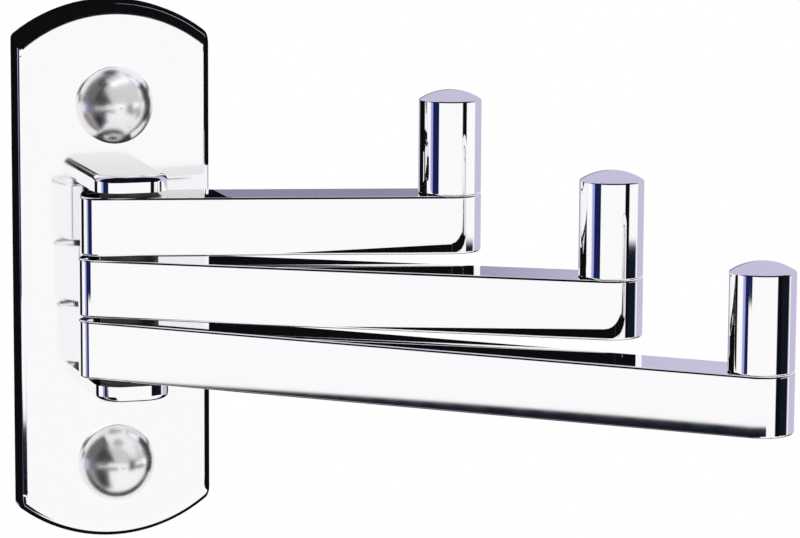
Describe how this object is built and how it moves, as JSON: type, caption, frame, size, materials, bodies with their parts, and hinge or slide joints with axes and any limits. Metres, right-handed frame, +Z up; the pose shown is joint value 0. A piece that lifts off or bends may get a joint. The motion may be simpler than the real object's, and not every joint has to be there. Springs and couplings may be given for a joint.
{
  "type": "triple swing-arm hook",
  "caption": "Wall plate with arched ends whose lugs hold stacked swinging bars, each with an upright peg for hanging things on.",
  "frame": {"origin": "middle of the wall plate's back face, on the wall", "axes": "+X along the wall towards the hooks, +Y into the wall, +Z up"},
  "size_m": [0.1296, 0.1408, 0.1136],
  "materials": {
    "plate_chrome": "polished chrome plate",
    "arm_chrome": "polished chrome plate",
    "peg_chrome": "polished chrome plate",
    "cap_chrome": "polished chrome plate",
    "bright_steel": "bright zinc-plated steel",
    "nylon": "moulded dark nylon"
  },
  "bodies": {
    "wall_side": {"wall_plate": "plate_chrome", "pivot_pin": "bright_steel", "upper_lug_washer": "nylon", "upper_arm_washer": "nylon", "lower_arm_washer": "nylon", "lower_lug_washer": "nylon", "upper_wall_screw": "bright_steel", "upper_cap_cup": "nylon", "upper_screw_cap": "cap_chrome", "lower_wall_screw": "bright_steel", "lower_cap_cup": "nylon", "lower_screw_cap": "cap_chrome"},
    "top_hook": {"top_arm": "arm_chrome", "top_peg": "peg_chrome", "top_peg_screw": "bright_steel"},
    "middle_hook": {"middle_arm": "arm_chrome", "middle_peg": "peg_chrome", "middle_peg_screw": "bright_steel"},
    "bottom_hook": {"bottom_arm": "arm_chrome", "bottom_peg": "peg_chrome", "bottom_peg_screw": "bright_steel"}
  },
  "joints": [
    {"name": "top_arm_swing", "type": "hinge", "parent": "wall_side", "child": "top_hook", "pos_m": [0, -0.0185, 0.0121], "axis": [0, 0, 1], "range_deg": [-167, 13]},
    {"name": "middle_arm_swing", "type": "hinge", "parent": "wall_side", "child": "middle_hook", "pos_m": [0, -0.0185, -0.0009], "axis": [0, 0, 1], "range_deg": [-150, 30]},
    {"name": "bottom_arm_swing", "type": "hinge", "parent": "wall_side", "child": "bottom_hook", "pos_m": [0, -0.0185, -0.0139], "axis": [0, 0, 1], "range_deg": [-139, 41]}
  ]
}
